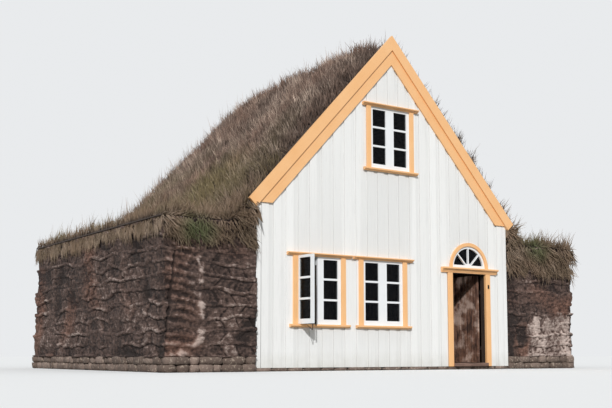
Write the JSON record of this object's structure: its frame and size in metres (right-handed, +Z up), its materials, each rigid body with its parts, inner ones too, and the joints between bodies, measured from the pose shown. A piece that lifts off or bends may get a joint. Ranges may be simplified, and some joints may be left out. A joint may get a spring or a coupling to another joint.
{
  "type": "turf house",
  "caption": "Turf house: white boarded gable front with casement windows, fanlight door that opens, thick turf walls and a steep grass-grown turf roof.",
  "frame": {"origin": "on the ground at the middle of the front, in the plane of the front boards' outer face", "axes": "+Z up; the front faces -Y; +X to the right of someone who looks at the front"},
  "size_m": [9.6, 6.7478, 6.4904],
  "materials": {
    "stone": "rough grey field stone, dry laid",
    "turf": "cut turf, dark brown, layered and fibrous, dry",
    "grass_turf": "turf grown over with tall dry grass, golden brown with green patches",
    "white_boards": "painted white, matt oil paint on planed boards",
    "yellow_paint": "painted light orange yellow, satin oil paint",
    "white_sash": "painted white, satin oil paint",
    "bare_timber": "unpainted softwood, aged brown",
    "floor_wood": "unpainted worn softwood boards",
    "leaf_wood": "dark brown weathered boards",
    "glass": "clear window glass",
    "iron": "black forged iron",
    "knob": "white glazed knob"
  },
  "bodies": {
    "house": {"footing_front": "stone", "footings_side": "stone", "footing_back": "stone", "turf_wall_left": "turf", "turf_wall_right": "turf", "turf_wall_back": "turf", "turf_roof_left": "grass_turf", "turf_roof_right": "grass_turf", "roof_boards_left": "bare_timber", "roof_boards_right": "bare_timber", "ridge_board": "bare_timber", "rafters": "bare_timber", "loft_joists": "bare_timber", "wall_plates": "bare_timber", "side_posts": "bare_timber", "side_boards": "bare_timber", "back_boards": "bare_timber", "ground_floor": "floor_wood", "loft_floor": "floor_wood", "front_beams": "bare_timber", "front_posts": "bare_timber", "front_boards_left": "white_boards", "front_boards_right": "white_boards", "front_boards_over_door": "white_boards", "front_boards_gable": "white_boards", "barge_upper_left": "yellow_paint", "barge_upper_right": "yellow_paint", "barge_lower_left": "yellow_paint", "barge_lower_right": "yellow_paint", "window_frames": "white_sash", "casements_lower": "white_sash", "casements_upper": "white_sash", "casement_ajar": "white_sash", "window_glass": "glass", "window_casings": "yellow_paint", "door_frame": "bare_timber", "door_casings": "yellow_paint", "threshold": "floor_wood", "fanlight_arch": "yellow_paint", "fanlight_sash": "white_sash", "fanlight_glass": "glass", "ironwork": "iron"},
    "door": {"door_leaf": "leaf_wood", "door_straps": "iron", "door_handles": "knob"}
  },
  "joints": [
    {"name": "door_hinge", "type": "hinge", "parent": "house", "child": "door", "pos_m": [2.345, 0.152, 0.993], "axis": [0, 0, 1], "range_deg": [-20, 90]}
  ]
}
